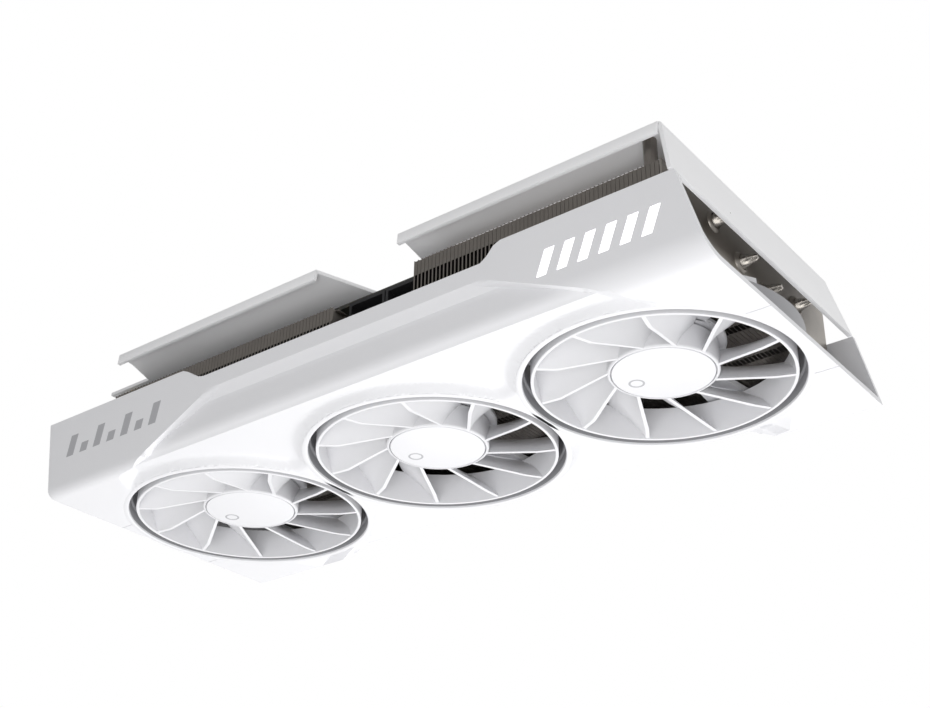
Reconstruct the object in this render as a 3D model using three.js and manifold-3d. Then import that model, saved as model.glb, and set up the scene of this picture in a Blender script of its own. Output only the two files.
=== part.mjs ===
// A long three-fan graphics card: shroud, fans, fin stacks, heat pipes, board, bracket and backplate.
// Millimetres. +X runs to the tail of the card, +Y to the slot edge, +Z to the backplate, so the fans
// face -Z. The pieces are laid out from the middle fan's axis at the shroud's front face, and the whole
// card is then moved so that its origin is the middle of the long gold-finger edge.
import * as THREE from 'three';
import { mergeVertices } from 'three/addons/utils/BufferGeometryUtils.js';
import Module from 'manifold-3d';

const wasm = await Module();
wasm.setup();

// Driving dimensions
const FIT = 0.3; // gap between two pieces that touch
const WALL = 2.2; // moulded shroud wall

const FAN_PITCH = 106.3;
const OPENING_R = 52;
const COLLAR_R = 54.6;
const FAN_NAMES = ['bracket_end', 'middle', 'tail'];

const SHROUD_HEIGHT = 32.8;
const SHROUD_LEFT = -160.7;
const TAIL_AT_FACE = 163.3;
const TAIL_LEAN = 0.25; // the tail leans back this much in x for each mm of z
const LONG_EDGE_Y = [-67.1, -71.7]; // shroud's free long side, at the face and at its top edge
const SLOT_SIDE_Y = [64.5, 66];
const RECESS_DEPTH = 3.4;
const RECESS_EDGE_Y = 65.2;
const END_WALL = 1.2; // the shroud's bracket-end wall, thin to clear the first fan

const BOARD = { x0: -159.3, x1: 30, y0: -46, y1: 70, z0: 52.4, z1: 54 };
const FINGER_EDGE_Y = 82;
const FINGER_SPLIT = { start: -116.4, short: 11.65, notch: 1.9, long: 71.65 };

const BACKPLATE_Z = 60.1;
const BACKPLATE_SHEET = 1.5;

const FIN_BOTTOM = 18;
const FIN_SIDES = [-62.4, 60.3];
const MAIN_STACK = { x0: -130, x1: -2, top: 41.9, fins: 26 };
const GAP_STACK = { x0: -2.8, x1: 36.8, top: 24, fins: 9, nearY: -30 };
const TAIL_STACK = { x0: 37.4, x1: 145.6, top: 44.6, fins: 19 };
const FIN = 0.8;
const FIN_TIE = 1.6; // the folded-over fin edges that tie a stack together

const GPU = { x: -60, y: 2, side: 40 };
const PIPE_R = 2.9;
const PIPE_RUN_Z = 45.1;
const PIPE_TUNNEL = 7;
const PIPE_ENDS = [
  { fromY: -24, y: -28, z: 39.8, endX: 149.8 },
  { fromY: -8, y: -9.4, z: 32.2, endX: 152 },
  { fromY: 8, y: 8.6, z: 28.6, endX: 153.2 },
  { fromY: 24, y: 34.3, z: 35.4, endX: 151.2 },
];

const BRACKET = { face: -162.3, sheet: 1, z0: 17.6, z1: 56.3, tip: 94, length: 120 };
const BRACKET_BODY_Y = [-26, 84];

const finishes = {
  white: { color: 0xf1f1f3, roughness: 0.45, metalness: 0 },
  light: { color: 0xffffff, roughness: 0.3, metalness: 0 },
  fin: { color: 0x4a453f, roughness: 0.4, metalness: 0.9 },
  copper: { color: 0x9a8f82, roughness: 0.3, metalness: 1 },
  steel: { color: 0xb9babd, roughness: 0.35, metalness: 1 },
  board: { color: 0x23241f, roughness: 0.6, metalness: 0 },
  black: { color: 0x151515, roughness: 0.5, metalness: 0 },
};

const layout = new THREE.Group();

// Solid helpers

function toSolid(geometry) {
  const bare = geometry.clone();
  bare.deleteAttribute('normal');
  bare.deleteAttribute('uv');
  const merged = mergeVertices(bare, 1e-4);
  return new wasm.Manifold(
    new wasm.Mesh({
      numProp: 3,
      vertProperties: new Float32Array(merged.attributes.position.array),
      triVerts: new Uint32Array(merged.index.array),
    }),
  );
}

function toGeometry(solid) {
  const mesh = solid.getMesh();
  const geometry = new THREE.BufferGeometry();
  geometry.setAttribute('position', new THREE.BufferAttribute(mesh.vertProperties, 3));
  geometry.setIndex(new THREE.BufferAttribute(mesh.triVerts, 1));
  return geometry;
}

function join(geometries) {
  return toGeometry(geometries.map(toSolid).reduce((a, b) => a.add(b)));
}

function cut(geometry, tools) {
  return toGeometry(tools.map(toSolid).reduce((a, b) => a.subtract(b), toSolid(geometry)));
}

function overlap(a, b) {
  return toGeometry(toSolid(a).intersect(toSolid(b)));
}

function add(name, finish, geometry) {
  const material = new THREE.MeshStandardMaterial(finishes[finish]);
  const mesh = new THREE.Mesh(geometry, material);
  mesh.name = name;
  layout.add(mesh);
  return mesh;
}

// A box between two corners
function block(x0, x1, y0, y1, z0, z1) {
  const geometry = new THREE.BoxGeometry(x1 - x0, y1 - y0, z1 - z0);
  return geometry.translate((x0 + x1) / 2, (y0 + y1) / 2, (z0 + z1) / 2);
}

function outline(points) {
  return new THREE.Shape(points.map(([a, b]) => new THREE.Vector2(a, b)));
}

// An (x, y) outline raised from z0 to z1
function plate(shape, z0, z1) {
  return new THREE.ExtrudeGeometry(shape, { depth: z1 - z0, bevelEnabled: false }).translate(0, 0, z0);
}

// A (y, z) section run along x
function alongX(points, x0, x1) {
  const geometry = new THREE.ExtrudeGeometry(outline(points), { depth: x1 - x0, bevelEnabled: false });
  geometry.rotateY(Math.PI / 2).rotateX(Math.PI / 2);
  return geometry.translate(x0, 0, 0);
}

// An (x, z) section run along y
function alongY(points, y0, y1) {
  const geometry = new THREE.ExtrudeGeometry(outline(points), { depth: y1 - y0, bevelEnabled: false });
  return geometry.rotateX(Math.PI / 2).translate(0, y1, 0);
}

// A profile of (radius, z) points turned round a vertical axis
function turned(points, segments, x = 0, y = 0) {
  const geometry = new THREE.LatheGeometry(points.map(([r, z]) => new THREE.Vector2(r, z)), segments);
  return geometry.rotateX(Math.PI / 2).translate(x, y, 0);
}

function rod(radius, z0, z1, segments, x = 0, y = 0) {
  return turned([[0, z0], [radius, z0], [radius, z1], [0, z1]], segments, x, y);
}

function tube(inner, outer, z0, z1, segments, x = 0, y = 0) {
  return turned([[inner, z0], [outer, z0], [outer, z1], [inner, z1], [inner, z0]], segments, x, y);
}

const fanX = FAN_NAMES.map((name, i) => (i - 1) * FAN_PITCH);
const tailX = (z) => TAIL_AT_FACE - TAIL_LEAN * z;
const longEdgeY = (z) => LONG_EDGE_Y[0] + ((LONG_EDGE_Y[1] - LONG_EDGE_Y[0]) * z) / SHROUD_HEIGHT;

// Shroud

// The trough's section, inset by a distance, run past the tail where the tail plane cuts it
function trough(inset, floor, top, x0) {
  const points = [
    [LONG_EDGE_Y[0] + inset, floor],
    [SLOT_SIDE_Y[0] - inset, floor],
    [SLOT_SIDE_Y[1] - inset, top],
    [longEdgeY(top) + inset, top],
  ];
  return alongX(points, x0, TAIL_AT_FACE + 5);
}

// The middle body's long-edge chamfer: a side view with slanted ends, crossed with the chamfer's section
function edgeRecess(side, grow) {
  const view = [
    [-109.2 - grow, -9],
    [-109.2 - grow, 0],
    [-61.4 - grow, 20.8 + grow],
    [75.4 + grow, 20.8 + grow],
    [121.7 + grow, 0],
    [121.7 + grow, -9],
  ];
  const section = [
    [RECESS_EDGE_Y - grow, -9],
    [RECESS_EDGE_Y - grow, RECESS_DEPTH],
    [66.2 - grow, 17.2],
    [70.2 - grow, 20.8 + grow],
    [90, 24 + grow],
    [90, -9],
  ];
  const signed = section.map(([y, z]) => [side * y, z]);
  if (side < 0) {
    signed.reverse();
  }
  return overlap(alongY(view, -95, 95), alongX(signed, -130, 140));
}

// The lowered front of the middle body, in plan, its ends meeting the outer fans' collars
function faceRecess(grow) {
  return plate(
    outline([
      [-109 - grow, -75],
      [-119.3 - grow, -63.2],
      [-127.2 - grow, -50],
      [-110, -20],
      [-110, 20],
      [-128 - grow, 50],
      [-117.5 - grow, 90],
      [117 + grow, 90],
      [139 + grow, 44],
      [110, 20],
      [110, -20],
      [141 + grow, -41],
      [130 + grow, -54.7],
      [121 + grow, -75],
    ]),
    -1,
    RECESS_DEPTH + grow,
  );
}

const BRIDGE_HALF_WIDTH = 26;

function shroud() {
  const lipR = COLLAR_R - 0.8;
  const over = RECESS_DEPTH + 1;
  const collar = [[0, -2], [lipR, -2], [lipR, 0], [COLLAR_R + 2, over], [0, over]];
  const collars = fanX.map((x) => turned(collar, 40, x));
  const bridge = block(-FAN_PITCH, FAN_PITCH, -BRIDGE_HALF_WIDTH, BRIDGE_HALF_WIDTH, -2, RECESS_DEPTH + 1);
  const front = cut(faceRecess(0), [...collars, bridge]);
  const body = trough(0, 0, SHROUD_HEIGHT, SHROUD_LEFT);
  const outside = cut(body, [front, edgeRecess(-1, 0), edgeRecess(1, 0)]);

  const inwardCollars = fanX.map((x) => rod(COLLAR_R, -2, RECESS_DEPTH + WALL, 32, x));
  const inside = cut(trough(WALL, WALL, SHROUD_HEIGHT + 5, SHROUD_LEFT + END_WALL), [
    faceRecess(WALL),
    edgeRecess(-1, WALL),
    edgeRecess(1, WALL),
    ...inwardCollars,
    block(-FAN_PITCH, FAN_PITCH, -BRIDGE_HALF_WIDTH, BRIDGE_HALF_WIDTH, -2, RECESS_DEPTH + WALL),
  ]);

  const openings = fanX.map((x) => rod(OPENING_R, -5, SHROUD_HEIGHT, 40, x));
  const pastTail = alongY([[tailX(-5), -5], [200, -5], [200, 60], [tailX(60), 60]], -100, 100);
  const dip = alongY([[-77, 40], [-77, 32.8], [-64.5, 27], [75, 27], [85, 32.8], [85, 40]], -100, 0);
  return cut(outside, [inside, ...openings, pastTail, dip, ...lightBars(0, 8)]);
}

// Slanted light bars near the tail, laid out flat and then turned onto the leaning long side
const LIGHT = { x0: 98, z0: 13.5, height: 9.4, width: 4.2, pitch: 8.4, lean: 4.6, count: 6 };

function ontoLongSide(geometry) {
  const lean = Math.atan2(LONG_EDGE_Y[0] - LONG_EDGE_Y[1], SHROUD_HEIGHT);
  geometry.rotateX(Math.PI / 2).rotateX(lean);
  return geometry.translate(0, LONG_EDGE_Y[0], 0);
}

function lightBars(inset, depth) {
  const bars = [];
  for (let i = 0; i < LIGHT.count; i += 1) {
    const x = LIGHT.x0 + i * LIGHT.pitch + inset;
    const width = LIGHT.width - 2 * inset;
    const z0 = LIGHT.z0 + inset;
    const z1 = LIGHT.z0 + LIGHT.height - inset;
    const bar = plate(
      outline([[x, z0], [x + width, z0], [x + width + LIGHT.lean, z1], [x + LIGHT.lean, z1]]),
      -depth / 2,
      depth / 2,
    );
    bars.push(ontoLongSide(bar));
  }
  return bars;
}

function lightDiffuser() {
  const x1 = LIGHT.x0 + LIGHT.count * LIGHT.pitch + LIGHT.lean;
  const backing = plate(
    outline([[LIGHT.x0 - 2, 16.5], [LIGHT.x0 + 9, 11.5], [x1, 11.5], [x1 - 2, 26], [LIGHT.x0 - 2, 26]]),
    -WALL - FIT - 1.6,
    -WALL - FIT,
  );
  const fillers = [];
  for (let i = 0; i < LIGHT.count; i += 1) {
    const x = LIGHT.x0 + i * LIGHT.pitch + FIT;
    const width = LIGHT.width - 2 * FIT;
    const z0 = LIGHT.z0 + FIT;
    const z1 = LIGHT.z0 + LIGHT.height - FIT;
    const shape = outline([[x, z0], [x + width, z0], [x + width + LIGHT.lean, z1], [x + LIGHT.lean, z1]]);
    fillers.push(ontoLongSide(plate(shape, -WALL - 1, -0.4)));
  }
  return join([ontoLongSide(backing), ...fillers]);
}

// Fans

const HUB_R = 20.9;
const RING = { inner: 47.5, outer: 48.9, z0: 0.5, z1: 8 };
const BLADES = 11;
// Stations from the hub to the ring: radius, front edge angle and z, back edge angle and z
const BLADE_STATIONS = [
  { r: 19.8, front: 0, frontZ: 4.4, back: 21.5, backZ: 13 },
  { r: 29, front: -10, frontZ: 2.8, back: 14, backZ: 13.2 },
  { r: 39.8, front: -17.2, frontZ: 1, back: 5, backZ: 13.3 },
  { r: 48.2, front: -18.8, frontZ: 0.7, back: 0, backZ: 13.4 },
];
const BLADE_THICKNESS = 1.2;
const BLADE_PHASE = 15.8;
const HUB_FLOOR = { r: 19.7, z: 5.4, sheet: 2 };
const HUB_RIM = { z: 3.9, skirt: 14.3, innerR: 18.6 };

function bladePoint(radius, degrees, z) {
  const angle = THREE.MathUtils.degToRad(degrees);
  return [radius * Math.cos(angle), radius * Math.sin(angle), z];
}

// One blade: four corners at each station, skinned into a closed strip
function blade(turn) {
  const corners = BLADE_STATIONS.flatMap((s) => [
    bladePoint(s.r, s.front + turn, s.frontZ),
    bladePoint(s.r, s.back + turn, s.backZ),
    bladePoint(s.r, s.back + turn, s.backZ + BLADE_THICKNESS),
    bladePoint(s.r, s.front + turn, s.frontZ + BLADE_THICKNESS),
  ]);
  const faces = [];
  const quad = (a, b, c, d) => faces.push(a, c, b, a, d, c);
  const last = BLADE_STATIONS.length - 1;
  for (let i = 0; i < last; i += 1) {
    for (let side = 0; side < 4; side += 1) {
      const next = (side + 1) % 4;
      quad(4 * i + side, 4 * i + 4 + side, 4 * i + 4 + next, 4 * i + next);
    }
  }
  quad(0, 1, 2, 3);
  quad(4 * last + 3, 4 * last + 2, 4 * last + 1, 4 * last);
  const geometry = new THREE.BufferGeometry();
  geometry.setAttribute('position', new THREE.Float32BufferAttribute(corners.flat(), 3));
  geometry.setIndex(faces);
  return geometry;
}

function fanRotor(x) {
  const under = HUB_FLOOR.z + HUB_FLOOR.sheet;
  const profile = [
    [0, HUB_FLOOR.z],
    [HUB_FLOOR.r, HUB_FLOOR.z],
    [HUB_FLOOR.r, HUB_RIM.z],
    [HUB_R - 0.5, HUB_RIM.z],
    [HUB_R, HUB_RIM.z + 0.5],
    [HUB_R, HUB_RIM.skirt],
    [HUB_RIM.innerR, HUB_RIM.skirt],
    [HUB_RIM.innerR, under],
    [0, under],
  ];
  const hub = turned(profile, 22);
  const ring = tube(RING.inner, RING.outer, RING.z0, RING.z1, 33);
  const blades = [];
  for (let i = 0; i < BLADES; i += 1) {
    blades.push(blade(BLADE_PHASE + (i * 360) / BLADES));
  }
  return join([hub, ring, ...blades]).translate(x, 0, 0);
}

const DUCT = { inner: 51.2, outer: 52.7, top: 15.6 };
const SEAT = { radius: 18, z0: 15.1, z1: 17.4 };
const MOTOR_Z0 = 8.4;

// The white frame behind each fan: a round duct, three struts and the motor's seat
function fanFrame(x) {
  const duct = tube(DUCT.inner, DUCT.outer, RECESS_DEPTH + WALL + FIT, DUCT.top, 32);
  const seat = rod(SEAT.radius, SEAT.z0, SEAT.z1, 20);
  const struts = [90, 210, 330].map((degrees) => {
    const strut = block(SEAT.radius - 2, DUCT.outer - 0.5, -3.5, 3.5, SEAT.z0, SEAT.z1);
    return strut.rotateZ(THREE.MathUtils.degToRad(degrees));
  });
  return cut(join([duct, seat, ...struts]), [rod(4.2, 10, 20, 16)]).translate(x, 0, 0);
}

// Cooler

// Fins side by side along x, tied together along the slot side
function finStack(stack) {
  const nearY = stack.nearY ?? FIN_SIDES[0];
  const pitch = (stack.x1 - stack.x0 - FIN) / (stack.fins - 1);
  const points = [[stack.x0, FIN_SIDES[1]]];
  for (let i = 0; i < stack.fins; i += 1) {
    const left = stack.x0 + i * pitch;
    if (i > 0) {
      points.push([left, FIN_SIDES[1] - FIN_TIE]);
    }
    points.push([left, nearY], [left + FIN, nearY]);
    if (i < stack.fins - 1) {
      points.push([left + FIN, FIN_SIDES[1] - FIN_TIE]);
    }
  }
  points.push([stack.x1, FIN_SIDES[1]]);
  return plate(outline(points.reverse()), FIN_BOTTOM, stack.top);
}

function pipeTunnel({ y, z }) {
  const half = PIPE_TUNNEL / 2;
  return block(TAIL_STACK.x0 - 2, TAIL_STACK.x1 + 2, y - half, y + half, z - half, z + half);
}

// A heat pipe runs under the cold plate, bends down in the gap and ends beyond the tail stack
function heatPipe({ fromY, y, z, endX }) {
  const route = new THREE.CurvePath();
  const start = new THREE.Vector3(-118, fromY, PIPE_RUN_Z);
  const bendStart = new THREE.Vector3(-4, fromY, PIPE_RUN_Z);
  const bendEnd = new THREE.Vector3(27, y, z);
  const end = new THREE.Vector3(endX, y, z);
  const pull = new THREE.Vector3(15, 0, 0);
  route.add(new THREE.LineCurve3(start, bendStart));
  const pullStart = bendStart.clone().add(pull);
  const pullEnd = bendEnd.clone().sub(pull);
  route.add(new THREE.CubicBezierCurve3(bendStart, pullStart, pullEnd, bendEnd));
  route.add(new THREE.LineCurve3(bendEnd, end));
  const section = new THREE.Shape();
  for (let i = 0; i < 8; i += 1) {
    const angle = (i * Math.PI) / 4;
    const method = i === 0 ? 'moveTo' : 'lineTo';
    section[method](PIPE_R * Math.cos(angle), PIPE_R * Math.sin(angle));
  }
  return new THREE.ExtrudeGeometry(section, { steps: 26, bevelEnabled: false, extrudePath: route });
}

const SPRING_SCREWS = [
  [GPU.x - 21, GPU.y - 26.5],
  [GPU.x + 21, GPU.y - 26.5],
  [GPU.x - 21, GPU.y + 26.5],
  [GPU.x + 21, GPU.y + 26.5],
];
const SCREW_R = 1.3;
const SCREW_HOLE_R = 1.7;
const PLATE_HALF = { x: 25, y: 30 };
const PLATE_Z = [48.3, 50.3];
const MEMORY_PLATE = { x0: -104, x1: -22, y0: -44, y1: 48 };

function coldPlate() {
  const { x, y } = PLATE_HALF;
  const body = block(GPU.x - x, GPU.x + x, GPU.y - y, GPU.y + y, PLATE_Z[0], PLATE_Z[1]);
  return cut(body, SPRING_SCREWS.map(([sx, sy]) => rod(SCREW_HOLE_R, 49, 60, 12, sx, sy)));
}

// The plate over the memory, with a window for the cold plate
function memoryPlate() {
  const { x0, x1, y0, y1 } = MEMORY_PLATE;
  const body = block(x0, x1, y0, y1, PLATE_Z[0] + FIT, PLATE_Z[1] + FIT);
  const x = PLATE_HALF.x + 1;
  const y = PLATE_HALF.y + 1;
  const window = block(GPU.x - x, GPU.x + x, GPU.y - y, GPU.y + y, 40, 60);
  return cut(body, [window]);
}

// Board

const BRACKET_SCREWS = [[-154.5, -18], [-154.5, 63]];
const STANDOFFS = [[-146, -40], [-146, 62], [24, -28], [24, 62]];

function board() {
  const { start, short, notch, long } = FINGER_SPLIT;
  const longStart = start + short + notch;
  const shape = outline([
    [BOARD.x0, BOARD.y0],
    [BOARD.x1, BOARD.y0],
    [BOARD.x1, BOARD.y1],
    [longStart + long, BOARD.y1],
    [longStart + long, FINGER_EDGE_Y],
    [longStart, FINGER_EDGE_Y],
    [longStart, BOARD.y1 + 4],
    [start + short, BOARD.y1 + 4],
    [start + short, FINGER_EDGE_Y],
    [start, FINGER_EDGE_Y],
    [start, BOARD.y1],
    [BOARD.x0, BOARD.y1],
  ]);
  const holes = [...SPRING_SCREWS, ...BRACKET_SCREWS].map(([x, y]) => rod(SCREW_HOLE_R, 50, 56, 12, x, y));
  return cut(plate(shape, BOARD.z0, BOARD.z1), holes);
}

const CHIP = { long: 14, wide: 12, z0: 51, z1: BOARD.z0 - FIT };
const MEMORY = [
  { x: -94, y: -21, turned: false },
  { x: -94, y: 2, turned: false },
  { x: -94, y: 25, turned: false },
  { x: -70, y: -36, turned: true },
  { x: -50, y: -36, turned: true },
  { x: -27, y: -21, turned: false },
  { x: -27, y: 2, turned: false },
  { x: -27, y: 25, turned: false },
];

function memoryChip({ x, y, turned: sideways }) {
  const halfX = (sideways ? CHIP.long : CHIP.wide) / 2;
  const halfY = (sideways ? CHIP.wide : CHIP.long) / 2;
  return block(x - halfX, x + halfX, y - halfY, y + halfY, CHIP.z0, CHIP.z1);
}

// A row of chokes on one moulded strip, as a stepped section run along x
function chokeBank(x0, x1, y0, count) {
  const pitch = 9;
  const points = [[y0, BOARD.z0 - FIT]];
  for (let i = 0; i < count; i += 1) {
    const left = y0 + i * pitch;
    points.push([left, 48.8], [left + 7.6, 48.8]);
    if (i < count - 1) {
      points.push([left + 7.6, 51.6], [left + pitch, 51.6]);
    }
  }
  points.push([y0 + (count - 1) * pitch + 7.6, BOARD.z0 - FIT]);
  return alongX(points, x0, x1);
}

const POWER_SOCKETS = [-8.6, 10.6];
const POWER = { width: 18.6, depth: 13, z0: 42.3, mouthY: -47.5 };
const POWER_WALL = { side: 1.2, floor: 1.4, back: 2.5 };

// A power socket with its mouth towards the free long edge
function powerSocket(x0) {
  const z1 = BOARD.z0 - FIT;
  const x1 = x0 + POWER.width;
  const y1 = POWER.mouthY + POWER.depth;
  const { side, floor, back } = POWER_WALL;
  const body = block(x0, x1, POWER.mouthY, y1, POWER.z0, z1);
  const mouth = block(x0 + side, x1 - side, POWER.mouthY - 1, y1 - back, POWER.z0 + floor, z1 - floor);
  return cut(body, [mouth]);
}

const PORT = { width: 17.4, height: 6.6, depth: 17, wall: 0.5, back: 3, pitch: 21.5, firstY: -10 };
const PORT_COUNT = 4;
const portY = (i) => PORT.firstY + i * PORT.pitch;
const PORT_Z1 = BOARD.z0 - FIT;

// A display socket: a thin shell round an open mouth, with the contact tongue set back
function displayPort(i) {
  const y = portY(i);
  const half = PORT.width / 2;
  const x0 = BRACKET.face + 0.2;
  const z0 = PORT_Z1 - PORT.height;
  const x1 = x0 + PORT.depth;
  const open = half - PORT.wall;
  const shell = block(x0, x1, y - half, y + half, z0, PORT_Z1);
  const mouth = block(x0 - 1, x1 - PORT.back, y - open, y + open, z0 + PORT.wall, PORT_Z1 - PORT.wall);
  const tongue = block(x0 + 9, x1 - 2, y - half + 3, y + half - 3, z0 + 2.6, z0 + 4.2);
  return join([cut(shell, [mouth]), tongue]);
}

// Bracket

// A sheet with port holes and an exhaust grille, two slot tongues and the bent screw flange
function ioBracket() {
  const { face, sheet, z0, z1, tip, length } = BRACKET;
  const back = face + sheet;
  const flangeY = tip - length;
  const slotWidth = 18.4;
  const slots = [z1 - slotWidth, z0];
  const body = block(face, back, BRACKET_BODY_Y[0], BRACKET_BODY_Y[1], z0, z1);
  const tongues = slots.map((z) => block(face, back, BRACKET_BODY_Y[1] - 1, tip, z + 1.5, z + 11.7));
  const flange = block(face - 11.4, back, flangeY, flangeY + sheet, z0, z1);
  const seat = BOARD.z1 + FIT;
  const tabs = BRACKET_SCREWS.map(([x, y]) => block(face, x + 4, y - 5, y + 5, seat, seat + sheet));
  const ports = [];
  for (let i = 0; i < PORT_COUNT; i += 1) {
    const half = PORT.width / 2 + FIT;
    const y = portY(i);
    ports.push(block(face - 1, back + 1, y - half, y + half, PORT_Z1 - PORT.height - FIT, PORT_Z1 + FIT));
  }
  const vents = [];
  for (let y = BRACKET_BODY_Y[0] + 8; y < BRACKET_BODY_Y[1] - 12; y += 13) {
    vents.push(block(face - 1, back + 1, y, y + 9, z0 + 4, z0 + 16));
  }
  const notch = (z) => block(face - 13, face - 7.5, flangeY - 1, flangeY + 2, z + 11, z + 15.4);
  const screwHoles = BRACKET_SCREWS.map(([x, y]) => rod(SCREW_HOLE_R, 50, 58, 12, x, y));
  const folded = join([body, ...tongues, flange, ...tabs]);
  return cut(folded, [...ports, ...vents, ...slots.map(notch), ...screwHoles]);
}

// Backplate

const WING_Y = -64.9;
const NOTCH_Y = -34;
const BACK_SLOT_Y = 60.9;
const WINDOW = { x0: 44.4, x1: 131, y0: -48.3, y1: 45.8 };
const LIP = { drop: 5.2, flare: 1.6 };
const FLANGE = { bottom: 34, y0: -72, y1: 67, sheet: 2 };

function backplate() {
  const top = BACKPLATE_Z;
  const under = BACKPLATE_Z - BACKPLATE_SHEET;
  const tail = tailX(top);
  const sheet = plate(
    outline([
      [-158, -44],
      [-132.5, -44],
      [-127.5, -58],
      [-126.6, WING_Y],
      [-10.6, WING_Y],
      [-0.5, NOTCH_Y],
      [26.5, NOTCH_Y],
      [32, WING_Y],
      [tail, WING_Y],
      [tail, BACK_SLOT_Y],
      [-158, BACK_SLOT_Y],
    ]),
    under,
    top,
  );
  const window = block(WINDOW.x0, WINDOW.x1, WINDOW.y0, WINDOW.y1, under - 1, top + 1);
  const lip = [
    [WING_Y, top],
    [WING_Y - LIP.flare, top - LIP.drop],
    [WING_Y - LIP.flare + BACKPLATE_SHEET, top - LIP.drop],
    [WING_Y + BACKPLATE_SHEET, top],
  ];
  const { bottom, y0, y1, sheet: thick } = FLANGE;
  const foot = tailX(bottom);
  const leaning = [[tail, top], [foot, bottom], [foot - thick, bottom], [tail - thick, top]];
  const flared = [[WING_Y, top], [BACK_SLOT_Y, top], [y1, bottom], [y0, bottom]];
  const flange = overlap(alongY(leaning, -90, 90), alongX(flared, 100, 200));
  return join([cut(sheet, [window]), alongX(lip, -126.6, -10.6), alongX(lip, 32, tail), flange]);
}

const POST_TOP = BACKPLATE_Z - BACKPLATE_SHEET - FIT;

function gpuPackage() {
  const half = GPU.side / 2;
  const z0 = PLATE_Z[1] + FIT;
  return block(GPU.x - half, GPU.x + half, GPU.y - half, GPU.y + half, z0, BOARD.z0 - FIT);
}

// A screw from its tip to the seat, with a round head beyond
function screw(tip, seat, headR, headHeight) {
  const top = seat + headHeight;
  const profile = [[0, tip], [SCREW_R, tip], [SCREW_R, seat], [headR, seat], [headR, top], [0, top]];
  return turned(profile, 12);
}

// Assembly

add('shroud', 'white', shroud());
add('light_diffuser', 'light', lightDiffuser());

FAN_NAMES.forEach((name, i) => {
  const x = fanX[i];
  add(`fan_rotor_${name}`, 'white', fanRotor(x));
  add(`hub_cap_${name}`, 'white', rod(19.4, HUB_RIM.z, HUB_FLOOR.z - FIT, 32, x));
  add(`fan_shaft_${name}`, 'steel', rod(1.5, HUB_FLOOR.z + HUB_FLOOR.sheet + FIT, 16.4, 12, x));
  add(`fan_bearing_${name}`, 'copper', tube(1.8, 3.9, MOTOR_Z0, SEAT.z1, 12, x));
  add(`fan_motor_${name}`, 'black', tube(4.2, 16.4, MOTOR_Z0, SEAT.z0 - FIT, 20, x));
  add(`fan_frame_${name}`, 'white', fanFrame(x));
});

add('fin_stack_main', 'fin', join([finStack(MAIN_STACK), finStack(GAP_STACK)]));
add('fin_stack_tail', 'fin', cut(finStack(TAIL_STACK), PIPE_ENDS.map(pipeTunnel)));
PIPE_ENDS.forEach((ends, i) => add(`heat_pipe_${i + 1}`, 'copper', heatPipe(ends)));
add('cold_plate', 'copper', coldPlate());
add('memory_plate', 'steel', memoryPlate());

add('circuit_board', 'board', board());
add('gpu_package', 'black', gpuPackage());
MEMORY.forEach((place, i) => add(`memory_chip_${i + 1}`, 'black', memoryChip(place)));
add('choke_bank_inner', 'black', chokeBank(-17, -9.5, -24, 8));
add('choke_bank_outer', 'black', chokeBank(-117, -109.5, -24, 6));
POWER_SOCKETS.forEach((x, i) => add(`power_socket_${i + 1}`, 'black', powerSocket(x)));
for (let i = 0; i < PORT_COUNT; i += 1) {
  add(`display_port_${i + 1}`, 'steel', displayPort(i));
}

add('io_bracket', 'steel', ioBracket());
BRACKET_SCREWS.forEach(([x, y], i) => {
  const seat = BOARD.z1 + 2 * FIT + BRACKET.sheet;
  add(`bracket_screw_${i + 1}`, 'steel', screw(BOARD.z0, seat, 2.6, 1.6).translate(x, y, 0));
});
SPRING_SCREWS.forEach(([x, y], i) => {
  const tip = PLATE_Z[0] + 1;
  add(`spring_screw_${i + 1}`, 'steel', screw(tip, BOARD.z1 + FIT, 3, 3).translate(x, y, 0));
});
STANDOFFS.forEach(([x, y], i) => {
  add(`board_standoff_${i + 1}`, 'steel', rod(2.6, BOARD.z1 + FIT, POST_TOP, 6, x, y));
});
['long_edge', 'slot_side'].forEach((name, i) => {
  const y = [-59.6, 57][i];
  add(`tail_post_${name}`, 'steel', rod(2.5, TAIL_STACK.top + FIT, POST_TOP, 12, 140, y));
});
add('backplate', 'white', backplate());

// The origin goes to the middle of the long gold-finger edge
const { start, short, notch, long } = FINGER_SPLIT;
layout.position.set(-(start + short + notch + long / 2), -FINGER_EDGE_Y, -(BOARD.z0 + BOARD.z1) / 2);
const card = new THREE.Group();
card.add(layout);

export default card;
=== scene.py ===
import math

import bmesh
import bpy
from mathutils import Matrix, Vector, geometry


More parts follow.
